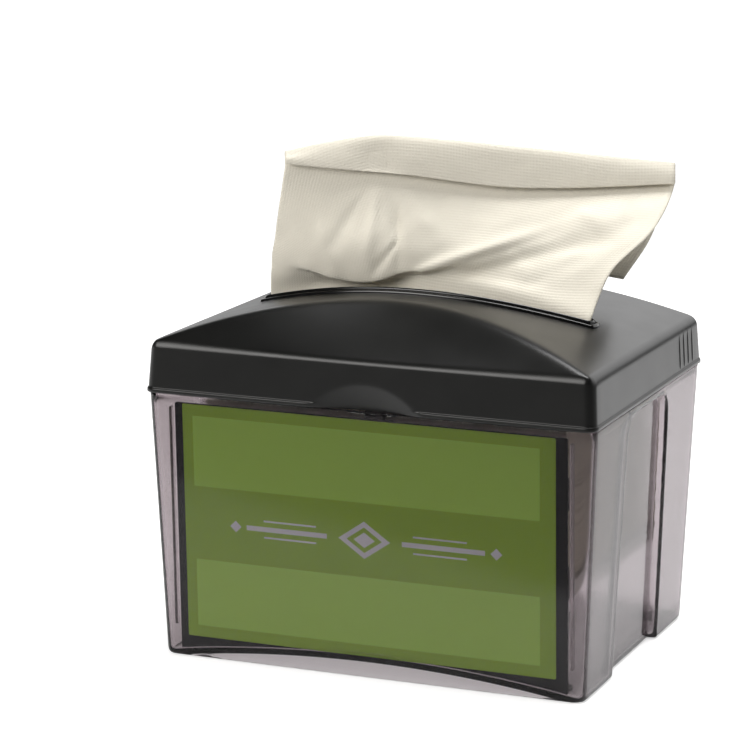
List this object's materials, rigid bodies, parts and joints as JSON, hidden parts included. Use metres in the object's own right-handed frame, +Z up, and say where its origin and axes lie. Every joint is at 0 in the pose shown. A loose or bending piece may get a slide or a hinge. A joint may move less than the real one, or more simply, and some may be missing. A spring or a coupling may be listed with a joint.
{
  "type": "napkin dispenser",
  "caption": "Tabletop napkin dispenser with a clear tapered container, a hinged arched lid with a lens-shaped slot, and a sprung platform under a stack of interleaved napkins.",
  "frame": {"origin": "on the table, under the middle of the object's outline", "axes": "+Z up, front with the display card towards -Y, +X to the right of someone facing the front"},
  "size_m": [0.2024, 0.1564, 0.2194],
  "materials": {
    "smoke_plastic": "clear smoke-tinted moulding",
    "lid_plastic": "fine satin texture",
    "bezel_plastic": "glossy",
    "black_plastic": "satin",
    "light_plastic": "satin",
    "printed_card": "matt print",
    "napkin_paper": "soft embossed tissue",
    "rubber": "matt",
    "steel": "zinc plated"
  },
  "bodies": {
    "base": {"body_shell": "smoke_plastic", "card_backing": "black_plastic", "front_card": "printed_card", "card_clips": "black_plastic", "latch_strike": "black_plastic", "rubber_feet": "rubber", "spring_seats": "light_plastic", "seat_screws": "steel", "hinge_pins": "steel", "lift_spring_left": "steel", "lift_spring_right": "steel"},
    "lid": {"lid_cover": "lid_plastic", "slot_bezel": "bezel_plastic", "slot_guide_plate": "black_plastic", "guide_plate_screws": "steel", "latch_pin": "steel", "latch_spring": "steel"},
    "latch": {"latch_hook": "black_plastic"},
    "platform": {"pusher_plate": "light_plastic", "napkin_stack": "napkin_paper"},
    "napkin": {"napkin_sheet": "napkin_paper"}
  },
  "joints": [
    {"name": "lid_hinge", "type": "hinge", "parent": "base", "child": "lid", "pos_m": [0, 0.075, 0.1146], "axis": [-1, 0, 0], "range_deg": [0, 100]},
    {"name": "latch_pivot", "type": "hinge", "parent": "lid", "child": "latch", "pos_m": [0, -0.0642, 0.124], "axis": [1, 0, 0], "range_deg": [0, 8], "stiffness_Nm_per_rad": 0.05, "springref_deg": -17.19},
    {"name": "platform_lift", "type": "slide", "parent": "base", "child": "platform", "axis": [0, 0, 1], "range_m": [-0.02, 0], "stiffness_N_per_m": 400, "springref_m": 0.06, "deforming": ["lift_spring_left", "lift_spring_right"]},
    {"name": "napkin_pull", "type": "slide", "parent": "lid", "child": "napkin", "axis": [0, 0, 1], "range_m": [0, 0.12]}
  ]
}
